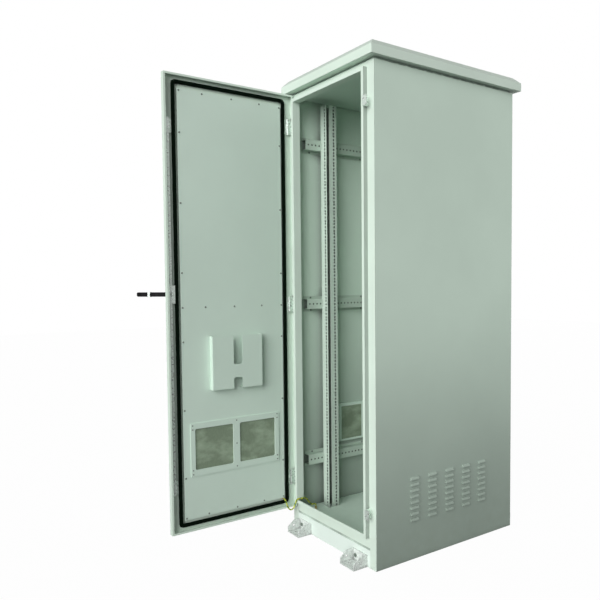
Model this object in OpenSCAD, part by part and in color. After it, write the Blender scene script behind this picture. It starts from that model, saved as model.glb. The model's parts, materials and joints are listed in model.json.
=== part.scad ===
// Floor-standing telecom cabinet with a gasketed rod-lock door, 19-inch uprights and a raised roof.
// Millimetres. Origin: centre of the footprint on the ground. Front is -Y, right is +X, up is +Z.
// Shown with the door open 90 degrees, unlocked, with the swing handle lifted.

/* [Body] */
// overall width of the cabinet body
body_w = 600; // [560:10:700]
// overall depth of the cabinet body
body_d = 800; // [760:10:1000]
// height of the top of the side panels above the ground
body_h = 1965; // [1960:5:2100]
// thickness of the folded steel sheet
sheet = 1.5; // [1:0.1:2]
// height of the plinth
plinth_h = 70; // [60:5:100]
// depth of the shadow groove under the sill and of the neck under the roof
groove_d = 12; // [8:1:16]
// height of the open neck between the side panels and the roof
neck_h = 10; // [6:1:20]

/* [Roof] */
// how far the roof reaches past each side panel
roof_side = 22; // [15:1:40]
// how far the roof reaches past the front
roof_front = 30; // [26:1:60]
// how far the roof reaches past the rear
roof_rear = 32; // [20:1:60]
// height of the roof's upright edge
fascia_h = 34; // [25:1:60]
// height and width of the bevel round the roof's top
hip = 25; // [15:1:40]

/* [Door frame] */
// width of the flat front face of each post
post_w = 42; // [40:1:50]
// how far the sealing lip stands in front of the posts
lip_h = 19; // [18:0.5:20]
// width of the sealing lip's front face
lip_w = 14; // [12:1:16]
// depth of the folded return behind the sealing lip
return_d = 36; // [30:1:45]
// height of the top of the sill's front face
sill_h = 122; // [115:1:140]
// height of the header's front face
header_h = 23; // [20:1:40]

/* [Door] */
// gap between the door edges and the outside of the body
door_margin = 1; // [0.5:0.5:2]
// gap between the posts and the closed door's flange
door_gap = 9; // [8.5:0.5:10]
// depth of the door pan
door_t = 24; // [23.5:0.1:25]
// height of the door's lower edge above the ground
door_z0 = 102; // [96:1:108]
// distance from the door's edge to the gasket band
rim_w = 36; // [34:1:38]
// width of the gasket band
gasket_w = 15; // [12:1:18]
// gap left between the gasket and the sealing lip
gasket_gap = 0.3; // [0.2:0.1:0.6]
// distance from the door's side edges to the stiffening sheet
inner_side = 60; // [58:1:70]
// distance from the door's lower edge to the stiffening sheet
inner_low = 48; // [46:1:60]
// distance from the door's upper edge to the stiffening sheet
inner_high = 54; // [48:1:70]

/* [Hinges] */
// height of each hinge
hinge_h = 66; // [60:1:90]
// distance of the lowest hinge's middle from the door's lower edge
hinge_low = 135; // [120:1:260]
// distance of the highest hinge's middle from the door's upper edge
hinge_high = 139; // [125:1:260]
// radius of the hinge knuckles
knuckle_r = 4.5; // [4.2:0.1:4.6]
// radius of the hinge pins
pin_r = 2.5; // [2:0.1:3]
// clearance of a turning pin all round
pin_fit = 0.05; // [0.02:0.01:0.1]

/* [Lock] */
// height of the lock's spindle above the ground
lock_z = 1085; // [1000:1:1150]
// radius at which the cam's pins drive the rods
cam_r = 10; // [9:0.5:10.5]
// width of the flat locking rods
rod_w = 10; // [9:0.5:12]
// thickness of the flat locking rods
rod_t = 3; // [2.5:0.1:3.2]
// length of the swing handle from its pivot
handle_len = 150; // [130:2:200]
// width of the swing handle
handle_w = 18; // [16:1:22]
// angle by which the handle is shown lifted off the door
handle_lift = 55; // [10:1:60]
// length of each rod guide
guide_h = 55; // [45:1:65]
// length of each rod keeper
keeper_h = 38; // [30:1:48]

/* [Uprights] */
// distance from the outside of the body to the back of each upright
upright_side = 35.95; // [30:0.05:45]
// distance from the back of each upright to its hole column
hole_in = 31.5; // [25:0.5:34]
// side of the square fixing holes
hole_s = 9.5; // [7:0.5:10]
// depth of each upright
upright_d = 57; // [40:1:70]
// width of each upright's perforated flange
upright_w = 44.5; // [35:0.5:46]
// distance from the body's front to the front uprights' face
upright_set = 144; // [100:2:200]

/* [Fittings] */
// height of the depth rails' channel
rail_h = 46; // [40:1:60]
// spacing of the depth rails' holes
rail_pitch = 20; // [15:1:30]
// width of the document pocket
pocket_w = 233; // [200:1:300]
// height of the document pocket
pocket_h = 225; // [180:5:250]
// depth of the document pocket
pocket_d = 28; // [20:1:30]
// width of each filter window
window_w = 175; // [150:1:180]
// height of each filter window
window_h = 172; // [150:1:180]
// width of each anchor lug
lug_w = 90; // [70:1:100]
// how far each anchor lug reaches out from the plinth
lug_d = 70; // [50:1:80]
// height of each anchor lug
lug_h = 48; // [40:1:58]

/* [Hidden] */
hw = body_w / 2;
hd = body_d / 2;
s = sheet;
e = 0.01;
// front faces, from the rear forwards
post_y = -hd;
lip_y = post_y - lip_h;
flange_y = post_y - door_gap;
skin_y = flange_y - door_t;
skin_in = skin_y + s;
panel_y = lip_y - 0.5;
gasket_y = lip_y - gasket_gap;
lip_out = hw - post_w;
lip_in = lip_out - lip_w;
open_z0 = sill_h + lip_w;
open_z1 = body_h - header_h - lip_w + 2;
// door outline
dx = hw - door_margin;
dz0 = door_z0;
dz1 = body_h - door_margin;
dzm = (dz0 + dz1) / 2 - 2.5;
gx = dx - rim_w;
rib_x = gx - gasket_w / 2;
gz0 = dz0 + 20;
gz1 = dz1 - 21;
ix = dx - inner_side;
iz0 = dz0 + inner_low;
iz1 = dz1 - inner_high;
// hinge axis
hx = -hw + 20;
hy = skin_in + 0.5 + knuckle_r;
lobe = (hinge_h - 1) / 3;
hinge_z = [dz0 + hinge_low, dzm, dz1 - hinge_high];
// lock layers, from the skin inwards
lx = dx - rim_w / 2 - 1;
base_y = skin_in + 2;
cam_y0 = base_y + 1;
cam_t = 3;
rod_y0 = cam_y0 + cam_t + 1;
rod_y = rod_y0 + rod_t / 2;
case_y = lip_y - 0.8;
pin_c = cam_r * cos(45);
stroke = 2 * pin_c;
case_w = 33.4;
case_z0 = lock_z - 37;
case_z1 = lock_z + 36;
esc_y = skin_y - 3;
lift_y = esc_y - 13;
guide_zu = dz1 - 234;
guide_zl = dz0 + 163;
tip_up = guide_zu + guide_h + 6;
tip_low = guide_zl - 6 - 14;
keep_zu = tip_up + 2;
keep_zl = tip_low - 2 - keeper_h;
// uprights
u = 44.45;
units = floor((body_h - plinth_h - 24) / u);
rz0 = plinth_h + 4;
r_len = units * u + 0.1;
web_x = hw - upright_side;
floor_z = plinth_h + 2;
rail_z = [for (k = [-1, 0, 1]) dzm - 0.5 + k * (dz1 - dz0) * 0.391];
rail_len = body_d - 122;
pocket_z0 = iz0 + (iz1 - iz0) * 0.3023;
filter_z0 = iz0 + 178;
filter_w = 2 * window_w + 71;
filter_h = window_h + 50;
stud_z = iz0 - 5;
lug_x = hw - 55 - lug_w;
strip_z1 = sill_h - 42;
hem_w = 8;
side_w = upright_d - 17;
// route of the earth cable from the door's stud over the sill lip to the stud on the floor,
// measured from the body's left front corner and the door's lower edge
route_at = [[30.4, -73.5, 43], [36, -73.5, 43], [42, -71, 36], [45, -65, 14],
            [44, -55, -3], [45, -44, -9], [49, -34, -2], [54, -27, 20],
            [61, -23, 37], [69, -12, 43], [72, 2, 42.5], [71, 14, 42],
            [68, 26, 33], [64, 42, 14], [61, 60, 0], [60, 74, -2],
            [60, 82, -7], [60, 82, -13.6]];
cable_r = 3;
route = [for (p = route_at) [-hw + p[0], -hd + p[1], dz0 + p[2]]];

// helpers
module bx(x0, x1, y0, y1, z0, z1) {
    translate([x0, y0, z0]) cube([x1 - x0, y1 - y0, z1 - z0]);
}

// rectangular ring standing in the XZ plane
module ring(x1, z0, z1, w, y0, y1) {
    difference() {
        bx(-x1, x1, y0, y1, z0, z1);
        bx(-x1 + w, x1 - w, y0 - 1, y1 + 1, z0 + w, z1 - w);
    }
}

// round bar along Y, from y0 to y1
module bar_y(x, z, r, y0, y1) {
    translate([x, y1, z]) rotate([90, 0, 0]) cylinder(r = r, h = y1 - y0, $fn = 48);
}

// block with its four corners in the XZ plane rounded by r
module soft(x0, x1, y0, y1, z0, z1, r) {
    bx(x0 + r, x1 - r, y0, y1, z0, z1);
    bx(x0, x1, y0, y1, z0 + r, z1 - r);
    for (x = [x0 + r, x1 - r], z = [z0 + r, z1 - r]) bar_y(x, z, r, y0, y1);
}

// rectangular ring like ring(), with rounded corners
module soft_ring(x1, z0, z1, w, r, y0, y1) {
    difference() {
        soft(-x1, x1, y0, y1, z0, z1, r);
        soft(-x1 + w, x1 - w, y0 - 1, y1 + 1, z0 + w, z1 - w, r - w * 0.7);
    }
}

// moves a closed door's parts to the open rest position
module opened() {
    translate([hx, hy, 0]) rotate([0, 0, -90]) translate([-hx, -hy, 0]) children();
}

// pressed louvre hood on a face looking along +X, open at its lower edge
module hood(len, r) {
    rotate([90, 0, 0]) translate([0, 0, -len / 2]) {
        linear_extrude(len) intersection() {
            difference() {
                translate([-3, 0]) circle(r, $fn = 40);
                translate([-3, 0]) circle(r - 1.2, $fn = 40);
            }
            translate([-e, 0]) square([r, r + 1]);
        }
        for (k = [0, len - 1.2]) translate([0, 0, k]) linear_extrude(1.2) intersection() {
            translate([-3, 0]) circle(r, $fn = 40);
            translate([-e, 0]) square([r, r + 1]);
        }
    }
}

// one folded upright with a perforated front flange and a perforated strip towards the middle;
// origin at its foot, web on the -X side, front flange at y = 0
module upright() {
    t = 2;
    bx(0, t, 0, upright_d, 0, r_len);
    bx(0, upright_w, upright_d - t, upright_d, 0, r_len);
    translate([0, t, 0]) rotate([90, 0, 0]) linear_extrude(t) difference() {
        square([upright_w, r_len]);
        unit_holes(hole_in);
    }
    translate([upright_w - t, upright_d - side_w, 0]) rotate([90, 0, 90]) linear_extrude(t) difference() {
        square([side_w, r_len]);
        unit_holes(side_w * 0.62);
    }
}

// column of square holes, three in each unit
module unit_holes(x) {
    for (k = [0 : units - 1], j = [6.35, 22.225, 38.1])
        translate([x - hole_s / 2, k * u + j - hole_s / 2 + 0.05]) square(hole_s);
}

// three depth rails on the left wall
module depth_rails() {
    d = hw - s - web_x;
    n = floor((rail_len - 30) / rail_pitch);
    for (z = rail_z) translate([-hw + s, -rail_len / 2, z - rail_h / 2]) {
        bx(0, d, 0, rail_len, 0, s);
        bx(0, d, 0, rail_len, rail_h - s, rail_h);
        translate([d - s, 0, 0]) rotate([90, 0, 90]) linear_extrude(s) difference() {
            square([rail_len, rail_h]);
            for (k = [0 : n]) translate([15 + k * rail_pitch, rail_h / 2]) circle(4.2, $fn = 20);
        }
        for (z1 = [-12, rail_h]) bx(0, s, 0, rail_len, z1, z1 + 12);
    }
}

module pan_head(r, h) {
    cylinder(r = r, h = h * 0.5, $fn = 24);
    translate([0, 0, h * 0.5 - e]) cylinder(r1 = r, r2 = r * 0.7, h = h * 0.5, $fn = 24);
}

// cabinet
module base_plinth() color([0.86, 0.91, 0.86]) {
    difference() {
        union() {
            bx(-hw + s, hw - s, -hd + s, hd, 0, plinth_h);
            bx(-lip_out - 4, lip_out + 4, -hd, -hd + s + 1, 0, plinth_h);
        }
        bx(-hw + s + 2, hw - s - 2, -hd + s + 2, hd - 2, 2, plinth_h - 2);
        bx(-lip_out - 2, lip_out + 2, -hd + 2, -hd + s + 3, 2, plinth_h - 2);
        bx(-hw + 45, hw - 45, -hd + 45, hd - 45, -1, plinth_h + 1);
        for (a = [-1, 1], y = [-hd - 1, hd - 3], k = [18, lug_w - 18])
            translate([a * (lug_x + k), y, 24]) rotate([-90, 0, 0]) cylinder(r = 4.5, h = 4, $fn = 32);
        for (a = [-1, 1], b = [-1, 1])
            translate([a * (hw - 24), b * (hd - 24), -1]) cylinder(r = 7, h = 4, $fn = 32);
    }
}

// grey strip that closes the groove between the plinth and the sill
module sill_strip() color([0.6, 0.68, 0.61])
    bx(-lip_out - 3.5, lip_out + 3.5, -hd + 2, -hd + 4, plinth_h, strip_z1);

module floor_plate() color([0.62, 0.7, 0.64]) {
    difference() {
        bx(-hw + s, hw - s, -hd + groove_d, hd - s - 0.5, plinth_h, floor_z);
        bx(-150, 150, hd - 190, hd - 70, plinth_h - 1, floor_z + 1);
        for (x = [-160, 160], y = [hd - 195, hd - 65])
            translate([x, y, plinth_h - 1]) cylinder(r = 2.5, h = 5, $fn = 24);
    }
    bx(-lip_out - 4, lip_out + 4, -hd + groove_d, -hd + groove_d + s, floor_z - e, sill_h - 20);
}

module gland_plate() color([0.66, 0.72, 0.67]) {
    difference() {
        union() {
            bx(-170, 170, hd - 205, hd - 55, floor_z, floor_z + 2);
            for (x = [-160, 160], y = [hd - 195, hd - 65])
                translate([x, y, floor_z + 2 - e]) pan_head(5, 3);
        }
        for (x = [-90, 0, 90]) translate([x, hd - 130, floor_z - 1]) cylinder(r = 28, h = 5, $fn = 64);
    }
}

module cable_grommets() color([0.08, 0.08, 0.08]) {
    for (x = [-90, 0, 90]) translate([x, hd - 130, floor_z]) rotate_extrude($fn = 64)
        polygon([[22, -3], [27.5, -3], [27.5, 2], [32, 2], [32, 5], [27, 6.5], [22, 6.5]]);
}

module front_frame() color([0.87, 0.93, 0.87]) {
    z0 = strip_z1;
    difference() {
        bx(-hw + e, hw - e, post_y, post_y + s, 0, body_h);
        bx(-lip_out + s, lip_out - s, post_y - 1, post_y + s + 1, sill_h + s, open_z1 + lip_w - s);
        bx(-lip_out - 4, lip_out + 4, post_y - 1, post_y + s + 1, -1, z0);
    }
    // bottom fold of the sill and inner folds of the posts
    bx(-lip_out - 4, lip_out + 4, post_y, post_y + groove_d, z0, z0 + s);
    for (a = [-1, 1]) {
        bx(min(a * (hw - s), a * (hw - 2 * s)), max(a * (hw - s), a * (hw - 2 * s)),
           post_y, post_y + 25, floor_z, body_h - s);
    }
    // sealing lip: outer wall, front band, inner return that is short along the sill
    ring(lip_out, sill_h, open_z1 + lip_w, s, lip_y, post_y + s);
    ring(lip_out, sill_h, open_z1 + lip_w, lip_w, lip_y, lip_y + s);
    difference() {
        ring(lip_in + s, open_z0 - s, open_z1 + s, s, lip_y, lip_y + return_d);
        bx(-lip_in - s - 1, lip_in + s + 1, lip_y + 6, lip_y + return_d + 1, open_z0 - s - 1, open_z0 + e);
    }
    // folded hem behind the posts, down to the side panels
    for (a = [-1, 1]) {
        xa = a * lip_in;
        xb = a * (web_x + 4);
        bx(min(xa, xb), max(xa, xb), lip_y + return_d - s, lip_y + return_d, open_z0, open_z1);
    }
}

module side_sheet() {
    bx(hw - s, hw, -hd + s, hd, 0, body_h);
    difference() {
        bx(hw - 28, hw - s + e, hd - s - 0.5, hd - 0.5, floor_z, body_h - s);
        for (k = [0 : 5]) bar_y(hw - 15, 120 + k * (body_h - 190) / 5, 3.3, hd - 5, hd + 1);
    }
}

module left_side_panel() color([0.6, 0.68, 0.61]) {
    fz = filter_z0 + 29;
    mirror([1, 0, 0]) difference() {
        side_sheet();
        for (k = [0 : 10]) bx(hw - s - 1, hw + 1, -126, 126, fz + 8 + k * 15, fz + 14 + k * 15);
    }
    // outside weather hoods over the slots
    for (k = [0 : 10]) translate([-hw, 0, fz + 6.5 + k * 15])
        mirror([1, 0, 0]) hood(256, 10);
}

module right_side_panel() color([0.6, 0.68, 0.61]) {
    difference() {
        side_sheet();
        for (j = [-2 : 2], k = [0 : 7])
            bx(hw - s - 1, hw + 1, j * 100 - 19, j * 100 + 19, 160.5 + k * 24, 165 + k * 24);
    }
    for (j = [-2 : 2], k = [0 : 7]) translate([hw, j * 100, 160 + k * 24]) hood(43, 11);
}

module rear_panel() color([0.6, 0.68, 0.61]) {
    difference() {
        bx(-hw + s, hw - s, hd, hd + s, floor_z, body_h);
        for (a = [-1, 1], k = [0 : 5])
            translate([a * (hw - 15), hd - 1, 120 + k * (body_h - 190) / 5])
                rotate([-90, 0, 0]) cylinder(r = 3, h = 4, $fn = 24);
        for (k = [0 : 7], z = [170, body_h - 330])
            bx(-hw / 2, hw / 2, hd - 1, hd + s + 1, z + k * 18, z + k * 18 + 5);
    }
    for (k = [0 : 7], z = [170, body_h - 330]) translate([0, hd + s, z - 1 + k * 18])
        rotate([0, 0, 90]) hood(hw + 6, 10);
    for (a = [-1, 1]) bx(a * hw * 2 / 3 - 12, a * hw * 2 / 3 + 12, hd - 12, hd + e, 130, body_h - 60);
}

module rear_panel_screws() color([0.75, 0.76, 0.76]) {
    for (a = [-1, 1], k = [0 : 5])
        translate([a * (hw - 15), hd + s, 120 + k * (body_h - 190) / 5]) rotate([-90, 0, 0]) {
            pan_head(5.5, 3.5);
            translate([0, 0, -s - 6]) cylinder(r = 2.95, h = s + 6 + e, $fn = 24);
        }
}

module top_plate() color([0.62, 0.7, 0.64]) {
    difference() {
        bx(-hw + s, hw - s, -hd + s, hd - s - 0.5, body_h - s, body_h);
        for (k = [-5 : 5]) bx(-90, 90, k * 24 - 3, k * 24 + 3, body_h - s - 1, body_h + 1);
        for (a = [-1, 1], b = [-1, 1]) translate([a * (hw - 24), b * (hd - 24), body_h - s - 1])
            cylinder(r = 4.2, h = 4, $fn = 32);
    }
    difference() {
        bx(-hw + groove_d, hw - groove_d, -hd + groove_d, hd - groove_d, body_h - e, body_h + neck_h);
        bx(-hw + groove_d + s, hw - groove_d - s, -hd + groove_d + s, hd - groove_d - s,
           body_h - 1, body_h + neck_h + 1);
        for (k = [-6 : 6]) bx(-hw, hw, k * 50 - 18, k * 50 + 18, body_h + 3, body_h + neck_h - 3);
    }
}

module roof_shape(g, zb) {
    x = hw + roof_side - g;
    y0 = -hd - roof_front + g;
    y1 = hd + roof_rear - g;
    z0 = body_h + neck_h;
    z1 = z0 + fascia_h - g * 0.4;
    z2 = z0 + fascia_h + hip - g;
    h = z2 - z1;
    intersection() {
        translate([0, y1, 0]) rotate([90, 0, 0]) linear_extrude(y1 - y0)
            polygon([[-x, zb], [x, zb], [x, z1], [x - h, z2], [-x + h, z2], [-x, z1]]);
        translate([-x, 0, 0]) rotate([90, 0, 90]) linear_extrude(2 * x)
            polygon([[y0, zb], [y1, zb], [y1, z1], [y1 - h, z2], [y0 + h, z2], [y0, z1]]);
    }
}

module roof_cap() color([0.87, 0.92, 0.87]) {
    z0 = body_h + neck_h;
    difference() {
        roof_shape(0, z0);
        roof_shape(s, z0 + s);
        bx(-hw + 40, hw - 40, -hd + 40, hd - 40, z0 - 1, z0 + s + 1);
        for (a = [-1, 1], b = [-1, 1]) translate([a * (hw - 24), b * (hd - 24), z0 - 1])
            cylinder(r = 4.2, h = 4, $fn = 32);
    }
}

// hexagon bolts that hold the roof down on the neck, reached from inside the roof space
module roof_bolts() color([0.75, 0.76, 0.76]) {
    z0 = body_h + neck_h;
    for (a = [-1, 1], b = [-1, 1]) translate([a * (hw - 24), b * (hd - 24), 0]) {
        translate([0, 0, z0 + s]) cylinder(r = 7, h = 5, $fn = 6);
        translate([0, 0, body_h - s - 9]) cylinder(r = 4, h = neck_h + 2 * s + 10, $fn = 32);
        translate([0, 0, body_h - s - 6]) cylinder(r = 7, h = 6, $fn = 6);
    }
}

module side_filter_frame() color([0.55, 0.62, 0.56]) {
    fz = filter_z0 + 29;
    x = -hw + s;
    difference() {
        bx(x, x + 12, -146, 146, fz - 1.7, fz + 182);
        bx(x - 1, x + 10.5, -141, 141, fz, fz + 176);
        for (j = [-1, 1]) bx(x, x + 13, j * 70 - 62, j * 70 + 62, fz + 8, fz + 168);
    }
}

module side_filter_mat() color([0.2, 0.24, 0.21]) {
    fz = filter_z0 + 29;
    bx(-hw + s + 1, -hw + s + 10.3, -140.7, 140.7, fz + 0.3, fz + 175.7);
}

module lug() {
    t = 4;
    difference() {
        union() {
            bx(0, lug_w, -lug_d, 0, 0, t);
            bx(0, lug_w, -t, 0, 0, lug_h);
        }
        for (x = [lug_w * 0.3, lug_w * 0.7])
            translate([x, -lug_d * 0.6, -1]) cylinder(r = 5.5, h = t + 2, $fn = 40);
        for (x = [18, lug_w - 18])
            translate([x, -t - 1, 24]) rotate([-90, 0, 0]) cylinder(r = 4.3, h = t + 2, $fn = 40);
    }
    for (x = [0, lug_w - t]) translate([x, 0, 0]) rotate([90, 0, 90]) linear_extrude(t) difference() {
        polygon([[0, 0], [-lug_d, 0], [-lug_d, lug_h * 0.5], [-lug_d * 0.56, lug_h],
                 [-lug_d * 0.5, lug_h], [0, lug_h]]);
        translate([-lug_d * 0.55, lug_h * 0.52]) circle(5, $fn = 40);
    }
}

module four_lugs() {
    for (m = [0, 1], n = [0, 1]) mirror([m, 0, 0]) mirror([0, n, 0])
        translate([lug_x, -hd, 0]) children();
}

module anchor_lugs() color([0.84, 0.88, 0.83]) four_lugs() lug();

module anchor_lug_bolts() color([0.75, 0.76, 0.76])
    four_lugs() for (x = [18, lug_w - 18]) translate([x, -4, 24]) {
        rotate([90, 0, 0]) cylinder(r = 7.5, h = 5, $fn = 6);
        rotate([-90, 0, 0]) cylinder(r = 4.25, h = 16, $fn = 32);
        translate([0, 6, 0]) rotate([-90, 0, 0]) cylinder(r = 7.5, h = 6, $fn = 6);
    }

module depth_rails_left() color([0.66, 0.74, 0.68]) depth_rails();
module depth_rails_right() color([0.66, 0.74, 0.68]) mirror([1, 0, 0]) depth_rails();

module depth_rail_screws() color([0.3, 0.31, 0.3]) {
    for (m = [0, 1]) mirror([m, 0, 0]) for (z = rail_z, k = [-1, 0, 1], b = [-1, 1])
        translate([-hw + 2 * s, k * (rail_len / 2 - 40), z + b * (rail_h / 2 + 6)])
            rotate([0, 90, 0]) pan_head(4, 3);
}

module place_upright(m, n) {
    mirror([m, 0, 0]) mirror([0, n, 0])
        translate([-web_x, -hd + upright_set, rz0 - 2]) upright();
}

module upright_front_left() color([0.72, 0.79, 0.73]) place_upright(0, 0);
module upright_front_right() color([0.72, 0.79, 0.73]) place_upright(1, 0);
module upright_rear_left() color([0.72, 0.79, 0.73]) place_upright(0, 1);
module upright_rear_right() color([0.72, 0.79, 0.73]) place_upright(1, 1);

// hooked plates on the right post that the rod ends slide behind
module rod_keepers() color([0.5, 0.55, 0.51]) {
    top = rod_y0 - 2;
    x0 = gx + 1.5;
    for (z = [keep_zl, keep_zu]) {
        bx(x0, x0 + 2.5, top - 2.5, post_y, z, z + keeper_h);
        bx(x0, lx + 8, top - 2.5, top, z, z + keeper_h);
        bx(lip_out + 1, x0 + 2, post_y - 2.5, post_y, z, z + keeper_h);
    }
}

// frame-side hinge leaf: foot on the post, arm, and two knuckles
module frame_leaf(z) {
    zb = z - hinge_h / 2;
    difference() {
        union() {
            bx(-hw + 6, -lip_out - 6, post_y - 3, post_y, zb, zb + hinge_h);
            bx(hx - 1.8, hx + 1.8, hy, post_y - 3 + e, zb, zb + hinge_h);
            for (k = [0, 2]) translate([hx, hy, zb + k * (lobe + 0.5)])
                cylinder(r = knuckle_r, h = lobe, $fn = 64);
        }
        translate([hx, hy, zb - 1]) cylinder(r = pin_r, h = hinge_h + 2, $fn = 64);
        translate([hx, hy, zb + lobe]) cylinder(r = knuckle_r + 1.2, h = lobe + 1, $fn = 64);
    }
}

// door-side hinge leaf: plate on the skin and the middle knuckle
module door_leaf(z) {
    zb = z - hinge_h / 2;
    difference() {
        union() {
            bx(hx + 7, hx + 15.5, skin_in, skin_in + 2.5, zb, zb + hinge_h);
            bx(hx - 2, hx + 8, skin_in, skin_in + 2.5, zb + lobe + 0.6, zb + 2 * lobe + 0.4);
            translate([hx, hy, zb + lobe + 0.6]) cylinder(r = knuckle_r, h = lobe - 0.2, $fn = 64);
        }
        translate([hx, hy, zb - 1]) cylinder(r = pin_r + pin_fit, h = hinge_h + 2, $fn = 64);
    }
}

module hinge_frame_leaf_top() color([0.8, 0.85, 0.8]) frame_leaf(hinge_z[2]);
module hinge_frame_leaf_middle() color([0.8, 0.85, 0.8]) frame_leaf(hinge_z[1]);
module hinge_frame_leaf_low() color([0.8, 0.85, 0.8]) frame_leaf(hinge_z[0]);

module hinge_pins() color([0.7, 0.71, 0.71]) {
    for (z = hinge_z) translate([hx, hy, z - hinge_h / 2 - 2]) {
        cylinder(r = pin_r, h = hinge_h + 4, $fn = 64);
        cylinder(r = pin_r + 1.2, h = 2, $fn = 48);
    }
}

module earth_stud_frame() color([0.8, 0.68, 0.35]) {
    translate([-hw + 60, -hd + 82, floor_z]) {
        cylinder(r = 3, h = 16, $fn = 32);
        cylinder(r = 5.8, h = 4, $fn = 6);
        translate([0, 0, 9]) cylinder(r = 5.8, h = 4, $fn = 6);
    }
}

// door, described closed
module pan_cut(z) {
    bx(-dx - 1, hx - 8, skin_in, flange_y + 1, z - hinge_h / 2 - 8, z + hinge_h / 2 + 8);
}

module door_shell() color([0.87, 0.93, 0.87]) opened() {
    difference() {
        union() {
            difference() {
                bx(-dx, dx, skin_y, flange_y, dz0, dz1);
                bx(-dx + s, dx - s, skin_in, flange_y + 1, dz0 + s, dz1 - s);
            }
            // inward hem along the flange's edge
            ring(dx, dz0, dz1, hem_w, flange_y - s, flange_y);
            // stiffening ribs behind the gasket band
            for (a = [-1, 1]) bx(a * rib_x - 1, a * rib_x + 1, skin_in - e, skin_in + 5, gz0, gz1);
        }
        for (z = hinge_z) pan_cut(z);
        bar_y(lx, lock_z, 7.5, skin_y - 1, skin_in + 1);
        for (j = [-1, 1], k = [0 : 6])
            bx(j * 103 - 72, j * 103 + 72, skin_y - 1, skin_in + 1, filter_z0 + 31 + k * 24, filter_z0 + 36 + k * 24);
    }
    for (j = [-1, 1], k = [0 : 6]) translate([j * 103, skin_y, filter_z0 + 30 + k * 24])
        rotate([0, 0, -90]) hood(150, 11);
}

module door_inner_panel() color([0.68, 0.76, 0.69]) opened() {
    wx = filter_w / 2 - 14;
    difference() {
        union() {
            bx(-ix, ix, panel_y - s, panel_y, iz0, iz1);
            ring(ix, iz0, iz1, s, skin_in, panel_y);
        }
        bx(-wx, wx, panel_y - s - 1, panel_y + 1, filter_z0 + 14, filter_z0 + filter_h - 14);
        for (p = screw_spots()) bar_y(p[0], p[1], 2, panel_y - s - 1, panel_y + 1);
    }
    // hat-section stiffeners between the skin and the sheet
    for (x = [-ix + 21, ix - 21]) bx(x - 6, x + 6, skin_in, panel_y - s + e, iz0 + 60, iz1 - 60);
}

module door_gasket() color([0.04, 0.04, 0.04]) opened() {
    difference() {
        union() {
            soft_ring(gx, gz0, gz1, gasket_w, 18, skin_in + 5, gasket_y - 2);
            soft_ring(gx - 2, gz0 + 2, gz1 - 2, gasket_w - 4, 16, gasket_y - 3, gasket_y);
            ring(gx - 4, gz0 + 4, gz1 - 4, gasket_w - 8, skin_in, skin_in + 6);
        }
        for (a = [-1, 1]) bx(a * rib_x - 1, a * rib_x + 1, skin_in - e, skin_in + 5, gz0, gz1);
    }
}

module door_filter_frame() color([0.66, 0.74, 0.67]) opened() {
    x = filter_w / 2;
    c = window_w / 2 + 15.5;
    difference() {
        bx(-x, x, panel_y, panel_y + 4, filter_z0, filter_z0 + filter_h);
        bx(-x + 3, x - 3, panel_y - 1, panel_y + 2.5, filter_z0 + 3, filter_z0 + filter_h - 3);
        for (a = [-1, 1]) soft(a * c - window_w / 2, a * c + window_w / 2, panel_y - 1, panel_y + 5,
            filter_z0 + 26, filter_z0 + 26 + window_h, 7);
        for (p = filter_spots()) bar_y(p[0], p[1], 1.8, panel_y - 1, panel_y + 5);
    }
    for (a = [-1, 1]) difference() {
        bx(a * c - window_w / 2 - 2, a * c + window_w / 2 + 2, panel_y - 4, panel_y + 3,
           filter_z0 + 24, filter_z0 + 28 + window_h);
        soft(a * c - window_w / 2, a * c + window_w / 2, panel_y - 6, panel_y + 5,
             filter_z0 + 26, filter_z0 + 26 + window_h, 7);
    }
}

module door_filter_mats() color([0.72, 0.78, 0.72]) opened() {
    c = window_w / 2 + 15.5;
    for (a = [-1, 1]) soft(a * c - window_w / 2 + 0.2, a * c + window_w / 2 - 0.2,
        panel_y - 4, panel_y - 0.5, filter_z0 + 26.2, filter_z0 + 25.8 + window_h, 7);
}

// sheet pocket with a slot down from its top edge and one up from its bottom edge
module document_pocket() color([0.66, 0.74, 0.67]) opened() {
    w = pocket_w / 2;
    z0 = pocket_z0;
    z1 = z0 + pocket_h;
    zm = (z0 + z1) / 2;
    yo = panel_y + pocket_d;
    difference() {
        bx(-w, w, panel_y, yo, z0, z1);
        bx(-w + s, w - s, panel_y - 1, yo - s, z0 + s, z1 + 1);
        soft(-20.5, 20.5, panel_y - 1, yo + 1, z1 - 122, z1 + 40, 8);
        soft(-20.5, 20.5, panel_y - 1, yo + 1, z0 - 60, z0 + 46, 8);
    }
    for (a = [-1, 1]) bx(a * (w + 4) - 4.5, a * (w + 4) + 4.5, panel_y, panel_y + s, zm - 52, zm + 52);
}

function screw_spots() = let (x = ix - 6, m = (iz0 + iz1) / 2, row_p = (iz1 - iz0) / 12.482)
    concat([for (a = [-1, 1], k = [-5, -3, -1, 1, 3, 5]) [a * x, m + k * row_p]],
           [for (z = [iz0 + 8, m, iz1 - 8], a = [-1, 1]) [a * x, z]],
           [for (z = [iz0 + 8, m, iz1 - 8], j = [-1, 0, 1]) [j * ix * 0.556, z]]);

function filter_spots() = let (x = filter_w / 2 - 9, z = filter_z0, h = filter_h)
    concat([for (a = [-1, 1], k = [9, 26, h - 26, h - 9]) [a * x, z + k]],
           [for (k = [11, h / 2, h - 11]) [0, z + k]]);

module door_screws() color([0.2, 0.21, 0.2]) opened() {
    for (p = screw_spots()) translate([p[0], panel_y, p[1]]) rotate([-90, 0, 0]) {
        pan_head(3.7, 2.2);
        translate([0, 0, -4]) cylinder(r = 1.95, h = 4 + e, $fn = 24);
    }
}

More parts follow.
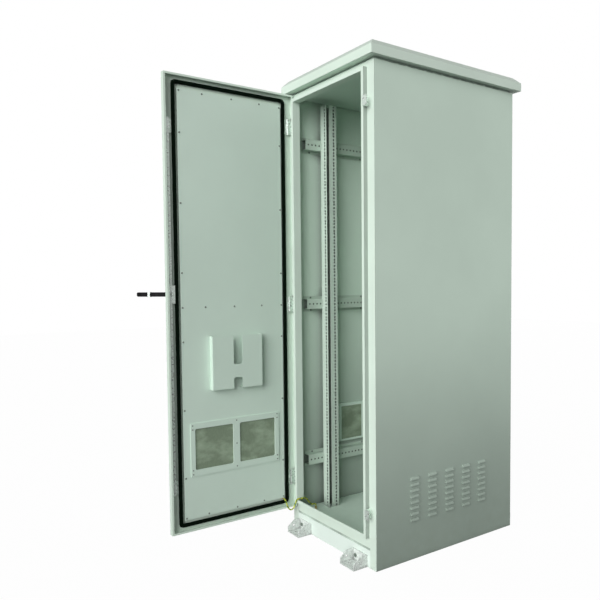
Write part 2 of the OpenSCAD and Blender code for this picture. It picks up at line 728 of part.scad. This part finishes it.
module filter_screws() color([0.2, 0.21, 0.2]) opened() {
    for (p = filter_spots()) translate([p[0], panel_y + 4, p[1]]) rotate([-90, 0, 0]) {
        pan_head(2.8, 1.8);
        translate([0, 0, -3]) cylinder(r = 1.75, h = 3 + e, $fn = 24);
    }
}

module hinge_door_leaf_top() color([0.8, 0.85, 0.8]) opened() door_leaf(hinge_z[2]);
module hinge_door_leaf_middle() color([0.8, 0.85, 0.8]) opened() door_leaf(hinge_z[1]);
module hinge_door_leaf_low() color([0.8, 0.85, 0.8]) opened() door_leaf(hinge_z[0]);

module lock_case() color([0.45, 0.47, 0.46]) opened() {
    w = case_w / 2;
    difference() {
        bx(lx - w, lx + w, skin_in, case_y, case_z0, case_z1);
        bx(lx - w + 1.2, lx + w - 1.2, base_y, case_y - 1.2, case_z0 - 1, case_z1 + 1);
        bar_y(lx, lock_z, 6 + pin_fit, skin_in - 1, base_y + 1);
        bar_y(lx, lock_z, 11, case_y - 2, case_y + 1);
    }
}

// channel on the rim's floor with a strap over the rod
module rod_guide(z) {
    w = rim_w / 2 - 1.8;
    cx = dx - rim_w / 2;
    g = rod_w / 2 + 0.4;
    bx(cx - w, cx + w, skin_in, skin_in + 2, z, z + guide_h);
    for (a = [-1, 1]) {
        bx(lx + a * (g + 1) - 1, lx + a * (g + 1) + 1, skin_in + 1, case_y, z, z + guide_h);
        bx(cx + a * (w - 1) - 1, cx + a * (w - 1) + 1, skin_in + 1, case_y - 4, z, z + guide_h);
    }
    for (z1 = [z, z + guide_h - 9]) {
        bx(lx - g - 1, lx + g + 1, skin_in + 1, rod_y0 - 0.4, z1, z1 + 9);
    }
    bx(lx - g - 1, lx + g + 1, case_y - 1.3, case_y, z + 14, z + guide_h - 14);
}

module rod_guide_upper() color([0.7, 0.73, 0.7]) opened() rod_guide(guide_zu);
module rod_guide_lower() color([0.7, 0.73, 0.7]) opened() rod_guide(guide_zl);

module handle_escutcheon() color([0.12, 0.12, 0.12]) opened() {
    difference() {
        union() {
            bx(lx - 16, lx + 16, esc_y, skin_y, lock_z - handle_len - 8, lock_z + 12);
            bar_y(lx, lock_z + 12, 16, esc_y, skin_y);
            bar_y(lx, lock_z - handle_len - 8, 16, esc_y, skin_y);
        }
        bar_y(lx, lock_z, 6 + pin_fit, esc_y - 1, skin_y + 1);
    }
}

module earth_stud_door() color([0.8, 0.68, 0.35]) opened() {
    translate([-ix + 6, skin_in, stud_z]) rotate([-90, 0, 0]) {
        cylinder(r = 2.5, h = 15, $fn = 32);
        translate([0, 0, 6.5]) cylinder(r = 3, h = 3, $fn = 6);
    }
}

// cam on the inner end of the spindle, with one driving pin for each rod
module lock_cam() color([0.62, 0.63, 0.63]) opened() {
    difference() {
        bar_y(lx, lock_z, cam_r + 4, cam_y0, cam_y0 + cam_t);
        translate([lx - 4, cam_y0 - 1, lock_z - 4]) cube([8, cam_t + 2, 8]);
    }
    bar_y(lx - pin_c, lock_z - pin_c, 2.2, cam_y0 + cam_t - e, rod_y0 + rod_t + 0.2);
    bar_y(lx + pin_c, lock_z + pin_c, 2.2, cam_y0 + cam_t - e, rod_y0 + rod_t + 0.2);
}

// outer hub with the spindle and the fork of the handle
module handle_hub() color([0.1, 0.1, 0.1]) opened() {
    difference() {
        union() {
            bar_y(lx, lock_z, 13, esc_y - 5, esc_y - 0.3);
            bar_y(lx, lock_z, 6, esc_y - 1, base_y + 0.5);
            translate([lx - 4, base_y, lock_z - 4]) cube([8, cam_t + 1.4, 8]);
            for (a = [-1, 1]) translate([lx, lift_y, lock_z + a * (handle_w / 2 + 1.9)])
                translate([0, 0, -1.5]) linear_extrude(3) union() {
                    circle(6.5, $fn = 48);
                    translate([-6.5, 0]) square([13, esc_y - 4 - lift_y]);
                }
        }
        translate([lx, lift_y, lock_z - 20]) cylinder(r = 2.5, h = 40, $fn = 48);
    }
}

module handle_pin() color([0.7, 0.71, 0.71]) opened()
    translate([lx, lift_y, lock_z - handle_w / 2 - 4]) cylinder(r = 2.5, h = handle_w + 8, $fn = 48);

module swing_handle() color([0.06, 0.06, 0.06]) opened()
    translate([lx, lift_y, lock_z]) rotate([0, 0, -handle_lift]) difference() {
        union() {
            translate([0, 0, -handle_w / 2]) cylinder(r = 7, h = handle_w, $fn = 64);
            intersection() {
                translate([0, 0, -handle_w / 2]) linear_extrude(handle_w)
                    polygon([[-2, -6], [-2, 6], [5, 6.8], [handle_len * 0.3, 7.2], [handle_len * 0.4, 8],
                             [handle_len * 0.85, 8], [handle_len, 5], [handle_len, -4],
                             [handle_len * 0.7, -6.5], [handle_len * 0.3, -7], [5, -6.6]]);
                translate([0, 20, 0]) rotate([90, 0, 0]) linear_extrude(40)
                    polygon([[-8, -handle_w / 2], [handle_len - 6, -handle_w / 2], [handle_len - 2, -handle_w / 2 + 2],
                             [handle_len + 1, -handle_w / 4], [handle_len + 1, handle_w / 4],
                             [handle_len - 2, handle_w / 2 - 2], [handle_len - 6, handle_w / 2], [-8, handle_w / 2]]);
            }
        }
        translate([0, 0, -handle_w]) cylinder(r = 2.5 + pin_fit, h = 2 * handle_w, $fn = 48);
    }

// plain metal collar round the handle's grip
module handle_collar() color([0.6, 0.62, 0.6]) opened()
    translate([lx, lift_y, lock_z]) rotate([0, 0, -handle_lift])
        difference() {
            translate([handle_len * 0.56, -7.8, -handle_w / 2 - 0.8]) cube([11, 16.6, handle_w + 1.6]);
            translate([handle_len * 0.56 - 1, -7, -handle_w / 2]) cube([13, 15, handle_w]);
        }

// flat rod with a slotted end plate beside the spindle; a is the side of the driving pin
module rod_body(a, z_tip) {
    zl = lock_z + a * -pin_c;
    x0 = 2;
    x1 = cam_r + 5;
    za = lock_z + 24;
    difference() {
        union() {
            bx(lx - x1, lx - x0, rod_y0, rod_y0 + rod_t, zl - 7, za + 1);
            bx(lx - x1, lx + rod_w / 2, rod_y0, rod_y0 + rod_t, za, za + 9);
            bx(lx - rod_w / 2, lx + rod_w / 2, rod_y0, rod_y0 + rod_t, za + 8, z_tip - 3);
            bx(lx - rod_w / 2 + 2, lx + rod_w / 2 - 2, rod_y0, rod_y0 + rod_t, z_tip - 4, z_tip);
        }
        bar_y(lx - pin_c, zl, 2.75, rod_y0 - 1, rod_y0 + rod_t + 1);
        bar_y(lx - cam_r, zl, 2.75, rod_y0 - 1, rod_y0 + rod_t + 1);
        bx(lx - cam_r, lx - pin_c, rod_y0 - 1, rod_y0 + rod_t + 1, zl - 2.75, zl + 2.75);
    }
}

module upper_rod() color([0.75, 0.78, 0.76]) opened() rod_body(1, tip_up);

module lower_rod() color([0.75, 0.78, 0.76]) opened()
    translate([2 * lx, 0, 2 * lock_z]) rotate([0, 180, 0]) rod_body(1, 2 * lock_z - tip_low - 14);

// tube of eight sides swept along the route's own points
n_route = len(route);
function run(k) = let (d = route[min(k + 1, n_route - 1)] - route[max(k - 1, 0)]) d / norm(d);
function side(k) = let (c = cross(run(k), [1, 0.15, 0.1])) c / norm(c);
module earth_cable() color([0.72, 0.74, 0.2]) {
    n = n_route;
    pts = [for (k = [0 : n - 1], j = [0 : 7])
        route[k] + cable_r * (cos(j * 45) * side(k) + sin(j * 45) * cross(run(k), side(k)))];
    faces = concat(
        [[for (j = [0 : 7]) j]],
        [for (k = [0 : n - 2], j = [0 : 7])
            [k * 8 + j, (k + 1) * 8 + j, (k + 1) * 8 + (j + 1) % 8, k * 8 + (j + 1) % 8]],
        [[for (j = [7 : -1 : 0]) (n - 1) * 8 + j]]);
    polyhedron(points = pts, faces = faces, convexity = 4);
}

base_plinth();
sill_strip();
floor_plate();
gland_plate();
cable_grommets();
front_frame();
left_side_panel();
right_side_panel();
rear_panel();
top_plate();
roof_cap();
side_filter_frame();
side_filter_mat();
anchor_lugs();
anchor_lug_bolts();
depth_rails_left();
depth_rails_right();
depth_rail_screws();
upright_front_left();
upright_front_right();
upright_rear_left();
upright_rear_right();
rod_keepers();
hinge_frame_leaf_top();
hinge_frame_leaf_middle();
hinge_frame_leaf_low();
hinge_pins();
earth_stud_frame();
rear_panel_screws();
roof_bolts();
door_shell();
door_inner_panel();
door_gasket();
door_filter_frame();
door_filter_mats();
document_pocket();
door_screws();
filter_screws();
hinge_door_leaf_top();
hinge_door_leaf_middle();
hinge_door_leaf_low();
lock_case();
rod_guide_upper();
rod_guide_lower();
handle_escutcheon();
earth_stud_door();
lock_cam();
handle_hub();
handle_pin();
swing_handle();
handle_collar();
upper_rod();
lower_rod();
earth_cable();
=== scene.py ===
"""Looks of a floor-standing utility cabinet with its door open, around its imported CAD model."""
import json
import math

import bmesh
import bpy
from mathutils import Matrix, Vector


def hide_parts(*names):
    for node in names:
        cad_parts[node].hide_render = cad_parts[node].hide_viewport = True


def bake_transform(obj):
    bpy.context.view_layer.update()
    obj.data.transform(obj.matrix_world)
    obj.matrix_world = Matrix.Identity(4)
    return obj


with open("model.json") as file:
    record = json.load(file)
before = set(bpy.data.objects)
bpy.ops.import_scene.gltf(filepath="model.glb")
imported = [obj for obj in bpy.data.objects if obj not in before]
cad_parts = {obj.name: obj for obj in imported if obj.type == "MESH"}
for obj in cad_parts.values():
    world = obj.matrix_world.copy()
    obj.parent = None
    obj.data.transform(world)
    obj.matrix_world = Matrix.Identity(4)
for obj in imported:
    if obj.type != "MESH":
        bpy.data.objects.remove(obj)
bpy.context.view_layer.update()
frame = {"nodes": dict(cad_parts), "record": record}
nodes = frame["nodes"]

# camera, fitted to the photograph: its place in metres and its angles in degrees
CAM_POS = (2.1432, -1.9193, 1.1233)
CAM_YAW, CAM_PITCH, CAM_ROLL = 54.9, -2.8, -0.5
VIEW_END = 60.0
# side, focal length and optical centre of the photograph, in pixels
IMAGE = 600.0
CAM_FOCAL = 625.1
CAM_CENTRE = (327.2, 314.2)
SENSOR_MM = 36.0

# strength of the surroundings as light, and as glossy surfaces mirror them
WORLD_LIGHT = 0.30
GLOSSY_LIGHT = 0.5
# suns: strength, direction of the light and width in degrees
SUNS = {"key": (3.0, (-0.43, 0.85, -0.31), 50), "fill": (1.3, (0.60, -0.80, -0.04), 60)}
# floor: half its side, its tone, and the strength and share of the white that the camera sees on it
FLOOR_REACH = 14.0
FLOOR_TONE = 0.22
FLOOR_WHITE = 1.06
FLOOR_WHITE_SHARE = 0.92

# part of a noise's range that a finish uses
SPREAD = (0.35, 0.65)
# dust on paint near the ground: its tint, and how high it reaches in metres
DUST_TINT = (0.72, 0.70, 0.62)
DUST_TOP = 0.32
# share of a face's normal along an axis, from where its tone changes to where it has changed
TURNED = (0.5, 0.9)
# painted shade where surfaces close in: openness at which it is darkest, and each shade as (tone there,
# reach in metres, openness where it ends)
CLOSED = 0.03
NARROW_GAP_SHADE = (0.5, 0.02, 0.5)
RAIL_GAP_SHADE = (0.4, 0.02, 0.5)
LOUVRE_GAP_SHADE = (0.0, 0.06, 0.6)
HOLE_SHADE = (0.0, 0.06, 0.75)
PLATED_GAP_SHADE = (0.4, 0.006, 0.5)
ZINC_GAP_SHADE = (0.3, 0.02, 0.7)
FLEECE_GAP_SHADE = (0.2, 0.009, 0.85)

# earth cable: the route of its CAD tube, in millimetres from a point on the body's left front edge
CORNER = Vector((-0.300, -0.400, 0.102))
ROUTE = [(30.4, -73.5, 43), (36, -73.5, 43), (42, -71, 36), (45, -65, 14), (44, -55, -3), (45, -44, -9),
         (49, -34, -2), (54, -27, 20), (61, -23, 37), (69, -12, 43), (72, 2, 42.5), (71, 14, 42),
         (68, 26, 33), (64, 42, 14), (61, 60, 0), (60, 74, -2), (60, 82, -7), (60, 82, -13.6)]
CABLE_R = 0.003
CABLE_SIDES = 20
RINGS_PER_POINT = 6
# the green stripe's width in sides and its turn per ring
STRIPE_SIDES = 7
STRIPE_TURN = 3


def linear(r, g, b):
    """Linear colour of sRGB values from 0 to 255."""
    out = []
    for c in (r, g, b):
        c /= 255.0
        out.append(c / 12.92 if c <= 0.04045 else ((c + 0.055) / 1.055) ** 2.4)
    return (*out, 1.0)


def tint(colour, factors):
    return (*(c * k for c, k in zip(colour, factors)), 1.0)


def shade(colour, k):
    return tint(colour, (k, k, k))


def add_camera():
    yaw, pitch, roll = (math.radians(a) for a in (CAM_YAW, CAM_PITCH, CAM_ROLL))
    ahead = Vector((-math.sin(yaw) * math.cos(pitch), math.cos(yaw) * math.cos(pitch), math.sin(pitch)))
    right = Vector((math.cos(yaw), math.sin(yaw), 0))
    up = right.cross(ahead)
    right, up = (right * math.cos(roll) + up * math.sin(roll), up * math.cos(roll) - right * math.sin(roll))
    data = bpy.data.cameras.new("camera")
    data.sensor_width = SENSOR_MM
    data.lens = CAM_FOCAL / IMAGE * SENSOR_MM
    data.shift_x = -(CAM_CENTRE[0] - IMAGE / 2) / IMAGE
    data.shift_y = (CAM_CENTRE[1] - IMAGE / 2) / IMAGE
    data.clip_end = VIEW_END
    cam = bpy.data.objects.new("camera", data)
    cam.matrix_world = Matrix.Translation(CAM_POS) @ Matrix((right, up, -ahead)).transposed().to_4x4()
    bpy.context.collection.objects.link(cam)
    bpy.context.scene.camera = cam


class Graph:
    """Short calls for the nodes of a material or a world."""

    def __init__(self, owner):
        owner.use_nodes = True
        self.nt = owner.node_tree

    def add(self, kind, **values):
        """New node; a value goes to the input of its name or, if there is none, to the property."""
        n = self.nt.nodes.new(kind)
        for k, v in values.items():
            if k in n.inputs:
                n.inputs[k].default_value = v
            else:
                setattr(n, k, v)
        return n

    def link(self, a, b):
        self.nt.links.new(a, b)

    def math(self, operation, a, b):
        n = self.add("ShaderNodeMath", operation=operation)
        self.link(a, n.inputs[0])
        self.link(b, n.inputs[1])
        return n.outputs[0]

    def span(self, value, low, high, start=SPREAD[0], end=SPREAD[1], way="LINEAR"):
        """Value from start to end, mapped to low to high."""
        n = self.add("ShaderNodeMapRange", interpolation_type=way)
        n.inputs["From Min"].default_value = start
        n.inputs["From Max"].default_value = end
        n.inputs["To Min"].default_value = low
        n.inputs["To Max"].default_value = high
        self.link(value, n.inputs["Value"])
        return n.outputs["Result"]


class Finish(Graph):
    """Nodes of a new material on its Principled shader."""

    def __init__(self, name):
        self.mat = bpy.data.materials.new(name)
        super().__init__(self.mat)
        self.bsdf = self.nt.nodes["Principled BSDF"]
        self.coord = self.add("ShaderNodeTexCoord").outputs["Object"]

    def split(self, vector):
        n = self.add("ShaderNodeSeparateXYZ")
        self.link(vector, n.inputs[0])
        return n.outputs

    def noise(self, scale, detail, stretch=None, rough=0.5):
        n = self.add("ShaderNodeTexNoise", Scale=scale, Detail=detail, Roughness=rough)
        if stretch:
            m = self.add("ShaderNodeMapping", Scale=stretch)
            self.link(self.coord, m.inputs["Vector"])
            self.link(m.outputs["Vector"], n.inputs["Vector"])
        else:
            self.link(self.coord, n.inputs["Vector"])
        return n.outputs["Fac"]

    def mix(self, fac, a, b):
        """Colour between a and b, each a socket or a plain colour."""
        n = self.add("ShaderNodeMix", data_type="RGBA")
        for socket, v in (("A", a), ("B", b)):
            s = [i for i in n.inputs if i.name == socket and i.type == "RGBA"][0]
            if isinstance(v, tuple):
                s.default_value = v
            else:
                self.link(v, s)
        self.link(fac, [i for i in n.inputs if i.name == "Factor" and i.type == "VALUE"][0])
        return [o for o in n.outputs if o.type == "RGBA"][0]

    def vary(self, noise, colour, low, high, start=SPREAD[0], end=SPREAD[1]):
        """Colour times low to high, along a noise."""
        return self.mix(self.span(noise, 0, 1, start, end), shade(colour, low), shade(colour, high))

    def times(self, colour, k):
        """Colour socket multiplied by a value socket."""
        n = self.add("ShaderNodeVectorMath", operation="SCALE")
        self.link(colour, n.inputs[0])
        self.link(k, n.inputs["Scale"])
        return n.outputs["Vector"]

    def crevice_shade(self, tone, low, reach, full):
        """Painted shade: tone darkened where surfaces close in on all sides, as behind holes and in each
        narrow gap.
        """
        ao = self.add("ShaderNodeAmbientOcclusion", samples=8, Distance=reach)
        return self.times(tone, self.span(ao.outputs["AO"], low, 1.0, CLOSED, full))

    def surface(self, tone, noise, smooth, rough):
        """Sets the colour, and the roughness from smooth to rough along a noise."""
        self.link(tone, self.bsdf.inputs["Base Color"])
        self.link(self.span(noise, smooth, rough), self.bsdf.inputs["Roughness"])

    def bump(self, height, strength, distance, under=None):
        n = self.add("ShaderNodeBump", Strength=strength, Distance=distance)
        self.link(height, n.inputs["Height"])
        if under:
            self.link(under, n.inputs["Normal"])
        self.link(n.outputs["Normal"], self.bsdf.inputs["Normal"])
        return n.outputs["Normal"]


def paint(name, colour, rough=0.42, dust=0.5, bottom_shade=None, gap_shade=NARROW_GAP_SHADE, top_shade=1.0, lip=1.0):
    """Powder coat: fine orange peel, slow changes of tone, some dust towards the ground.
    bottom_shade = (tone at the ground, height where it ends) is painted shade, darker towards the ground;
    gap_shade is painted shade in each narrow gap; top_shade is the tone of what faces up, painted
    shade; and lip that of the sealing lip's wall on the lock side, painted shade."""
    g = Finish(name)
    place = g.split(g.coord)
    facing = g.split(g.add("ShaderNodeNewGeometry").outputs["Normal"])
    clouds = g.noise(2.6, 4)
    specks = g.noise(26, 6)
    scuffs = g.noise(60, 3)
    waves = g.noise(7, 2)
    peel = g.noise(420, 2)
    tone = g.vary(clouds, colour, 0.965, 1.02)
    near_ground = g.span(place["Z"], dust, 0.0, 0.0, DUST_TOP)
    tone = g.mix(g.math("MULTIPLY", near_ground, g.span(specks, 0.0, 0.35)), tone, tint(colour, DUST_TINT))
    # painted shade: the tone drawn darker towards the ground, up to the given height
    if bottom_shade:
        at_ground, end = bottom_shade
        tone = g.times(tone, g.span(place["Z"], at_ground, 1.0, 0.0, end, "SMOOTHSTEP"))
    # painted shade: faces turned up drawn darker
    if top_shade < 1:
        tone = g.times(tone, g.span(facing["Z"], 1.0, top_shade, *TURNED))
    # painted shade: faces turned to +X on the lock side, the sealing lip's wall, drawn darker
    if lip < 1:
        lock_half = g.span(place["X"], 0.0, 1.0, -0.01, 0.01)
        tone = g.times(tone, g.span(g.math("MULTIPLY", facing["X"], lock_half), 1.0, lip, *TURNED))
    # painted shade where surfaces close in
    g.surface(g.crevice_shade(tone, *gap_shade), scuffs, rough - 0.05, rough + 0.07)
    g.bsdf.inputs["Specular IOR Level"].default_value = 0.4
    g.bump(peel, 0.10, 0.0004, g.bump(waves, 0.05, 0.002))
    return g.mat


def plated(name, colour, rough):
    """Plated metal with a fine level grain."""
    g = Finish(name)
    grain = g.noise(30, 4, (1.0, 1.0, 40.0))
    tone = g.vary(grain, colour, 0.86, 1.08)
    # painted shade where surfaces close in, dark outlines around plated parts
    g.surface(g.crevice_shade(tone, *PLATED_GAP_SHADE), g.noise(90, 4), rough - 0.08, rough + 0.14)
    g.bsdf.inputs["Metallic"].default_value = 0.6
    g.bump(grain, 0.12, 0.0002)
    return g.mat


def galvanised(name, colour):
    """Dull zinc coat with its patchy spangle."""
    g = Finish(name)
    spangle = g.noise(110, 5, None, 0.7)
    tone = g.vary(spangle, colour, 0.78, 1.12, 0.38, 0.62)
    # painted shade where surfaces close in
    g.surface(g.crevice_shade(tone, *ZINC_GAP_SHADE), g.noise(60, 3), 0.4, 0.6)
    g.bump(spangle, 0.25, 0.0005)
    return g.mat


def moulded(name, colour, rough, grain, strength, depth, gloss=0.14):
    """Rubber or plastic with a moulded grain of that scale, strength and depth."""
    g = Finish(name)
    tone = g.vary(g.noise(18, 4), colour, 0.8, 1.35)
    g.surface(tone, g.noise(70, 3), rough - 0.07, rough + 0.08)
    g.bsdf.inputs["Specular IOR Level"].default_value = gloss
    g.bump(g.noise(grain, 4), strength, depth)
    return g.mat


def fleece(name, colour):
    """Matted fibres with paler tufts."""
    g = Finish(name)
    strands = g.noise(240, 6, (1.0, 1.0, 0.35), 0.7)
    tufts = g.noise(9, 4, (1.0, 1.0, 1.8), 0.55)
    tone = g.mix(g.span(tufts, 0, 1, 0.44, 0.70), g.vary(strands, colour, 0.9, 1.08),
                 tint(colour, (1.8, 1.75, 1.85)))
    # painted shade near the window frame's edge, where surfaces close in
    g.link(g.crevice_shade(tone, *FLEECE_GAP_SHADE), g.bsdf.inputs["Base Color"])
    g.bsdf.inputs["Roughness"].default_value = 0.8
    g.bsdf.inputs["Sheen Weight"].default_value = 0.1
    g.bump(strands, 0.5, 0.0006, g.bump(tufts, 0.5, 0.004))
    return g.mat


MATERIALS = {
    "body_paint": paint("body_paint", (0.69, 0.82, 0.715)),
    # side and rear sheets: painted shade darker towards the ground, and painted shade in the louvres
    "panel_paint": paint("panel_paint", (0.65, 0.795, 0.685), bottom_shade=(0.50, 1.15), gap_shade=LOUVRE_GAP_SHADE),
    "inner_paint": paint("inner_paint", (0.665, 0.81, 0.71), 0.4, 0.3),
    # rail paints: darker copies of the body paint, painted shade for the cabinet's inside, with painted
    # shade behind the holes and where surfaces close in
    "rail_paint": paint("rail_paint", (0.57, 0.685, 0.595), 0.36, 0.3, gap_shade=HOLE_SHADE),
    "shaded_depth_rail_paint": paint("shaded_depth_rail_paint", (0.50, 0.615, 0.525), 0.36, 0.3, gap_shade=RAIL_GAP_SHADE),
    # front frame: painted shade on the lock side's lip wall
    "frame_paint": paint("frame_paint", (0.70, 0.82, 0.725), lip=0.58),
    # roof: painted shade on what faces up
    "roof_paint": paint("roof_paint", (0.70, 0.825, 0.725), top_shade=0.5),
    # plinth: a lighter copy of the body paint, painted light for the brighter light near the ground
    "lit_plinth_paint": paint("lit_plinth_paint", (0.80, 0.905, 0.84), 0.42, 0.1),
    "lug_zinc": galvanised("lug_zinc", (0.74, 0.79, 0.755)),
    "plated_steel": plated("plated_steel", (0.86, 0.96, 0.89), 0.3),
    "dark_steel": plated("dark_steel", (0.20, 0.24, 0.21), 0.42),
    "brass_stud": plated("brass_stud", (0.66, 0.50, 0.20), 0.3),
    "black_rubber": moulded("black_rubber", (0.002, 0.006, 0.003), 0.85, 900, 0.4, 0.0005, 0.04),
    "grey_strip": moulded("grey_strip", (0.40, 0.48, 0.42), 0.8, 700, 0.2, 0.0003),
    "handle_black": moulded("handle_black", (0.004, 0.004, 0.0045), 0.45, 650, 0.12, 0.0003),
    "filter_fleece": fleece("filter_fleece", (0.21, 0.275, 0.19)),
}

# nodes whose finish differs from the rest of their slot
NODE_FINISH = {
    "front_frame": "frame_paint",
    "roof_cap": "roof_paint",
    "base_plinth": "lit_plinth_paint",
    "anchor_lugs": "lug_zinc",
    "anchor_lug_bolts": "dark_steel",
    "depth_rails_left": "shaded_depth_rail_paint",
    "depth_rails_right": "shaded_depth_rail_paint",
}


def dress_nodes():
    """Gives the CAD nodes their finish; the cable's slot has none, as its sheath replaces it."""
    for sub in frame["record"]["subparts"]:
        finish = NODE_FINISH.get(sub["node"], sub["material_slot"])
        if finish in MATERIALS:
            slots = nodes[sub["node"]].data.materials
            slots.clear()
            slots.append(MATERIALS[finish])


def spline(points, per):
    """Catmull-Rom curve through the points."""
    p = [points[0] * 2 - points[1], *points, points[-1] * 2 - points[-2]]
    out = []
    for i in range(1, len(p) - 2):
        a, b, c, d = p[i - 1:i + 3]
        for k in range(per):
            t = k / per
            out.append(0.5 * ((2 * b) + (c - a) * t + (2 * a - 5 * b + 4 * c - d) * t * t
                              + (3 * b - a - 3 * c + d) * t ** 3))
    out.append(points[-1])
    return out


def mesh_object(name, bm, mats):
    me = bpy.data.meshes.new(name)
    bm.to_mesh(me)
    bm.free()
    for m in mats:
        me.materials.append(m)
    ob = bpy.data.objects.new(name, me)
    bpy.context.collection.objects.link(ob)
    return ob


def tube(name, path, radius, sides, mats, stripe):
    """Closed tube along a path; stripe(ring, side) gives a face's material index."""
    bm = bmesh.new()
    rings = []
    out = (path[1] - path[0]).normalized().orthogonal().normalized()
    for i, p in enumerate(path):
        ahead = (path[min(i + 1, len(path) - 1)] - path[max(i - 1, 0)]).normalized()
        out = (out - ahead * out.dot(ahead)).normalized()
        aside = ahead.cross(out)
        turns = (2 * math.pi * j / sides for j in range(sides))
        rings.append([bm.verts.new(p + radius * (math.cos(a) * out + math.sin(a) * aside)) for a in turns])
    for i, (near, far) in enumerate(zip(rings, rings[1:])):
        for j in range(sides):
            k = (j + 1) % sides
            f = bm.faces.new((near[j], near[k], far[k], far[j]))
            f.smooth = True
            f.material_index = stripe(i, j)
    bm.faces.new(rings[0][::-1])
    bm.faces.new(rings[-1])
    bmesh.ops.recalc_face_normals(bm, faces=bm.faces)
    return mesh_object(name, bm, mats)


def green_stripe(ring, side):
    """1 on the stripe that winds around the cable, and 0 on the yellow beside it."""
    return int((side + STRIPE_TURN * ring) % CABLE_SIDES < STRIPE_SIDES)


def add_cable():
    path = spline([CORNER + Vector(p) / 1000 for p in ROUTE], RINGS_PER_POINT)
    yellow = moulded("sheath_yellow", linear(196, 200, 70), 0.45, 500, 0.1, 0.0002)
    green = moulded("sheath_green", linear(58, 110, 40), 0.45, 500, 0.1, 0.0002)
    cable = tube("earth_cable_sheath", path, CABLE_R, CABLE_SIDES, [yellow, green], green_stripe)
    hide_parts("earth_cable")
    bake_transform(cable)


def add_floor():
    """Matt floor that takes shadows, and looks nearly white to the camera."""
    g = Finish("floor")
    g.bsdf.inputs["Base Color"].default_value = (FLOOR_TONE, FLOOR_TONE, FLOOR_TONE, 1)
    g.bsdf.inputs["Roughness"].default_value = 0.9
    camera_ray = g.add("ShaderNodeLightPath").outputs["Is Camera Ray"]
    white = g.add("ShaderNodeEmission", Strength=FLOOR_WHITE)
    mix = g.add("ShaderNodeMixShader")
    g.link(g.span(camera_ray, 0.0, FLOOR_WHITE_SHARE, 0.0, 1.0), mix.inputs[0])
    g.link(g.bsdf.outputs[0], mix.inputs[1])
    g.link(white.outputs[0], mix.inputs[2])
    g.link(mix.outputs[0], g.nt.nodes["Material Output"].inputs["Surface"])
    bm = bmesh.new()
    bmesh.ops.create_grid(bm, x_segments=8, y_segments=8, size=FLOOR_REACH)
    floor = mesh_object("floor", bm, [g.mat])


def add_world():
    """White surroundings, dimmer as light and in reflections than the camera sees them."""
    world = bpy.data.worlds.new("studio")
    bpy.context.scene.world = world
    g = Graph(world)
    ray = g.add("ShaderNodeLightPath").outputs
    light = g.span(ray["Is Glossy Ray"], WORLD_LIGHT, GLOSSY_LIGHT, 0.0, 1.0)
    back = g.nt.nodes["Background"]
    back.inputs["Color"].default_value = (1, 1, 1, 1)
    g.link(g.math("MAXIMUM", ray["Is Camera Ray"], light), back.inputs["Strength"])


def add_sun(name, strength, ahead, width):
    data = bpy.data.lights.new(name, "SUN")
    data.energy = strength
    data.angle = math.radians(width)
    ob = bpy.data.objects.new(name, data)
    ob.rotation_euler = Vector(ahead).to_track_quat("-Z", "Y").to_euler()
    bpy.context.collection.objects.link(ob)


add_camera()
dress_nodes()
add_cable()
add_floor()
add_world()
for sun, (strength, ahead, width) in SUNS.items():
    add_sun(sun, strength, ahead, width)
bpy.context.scene.view_settings.view_transform = "Standard"
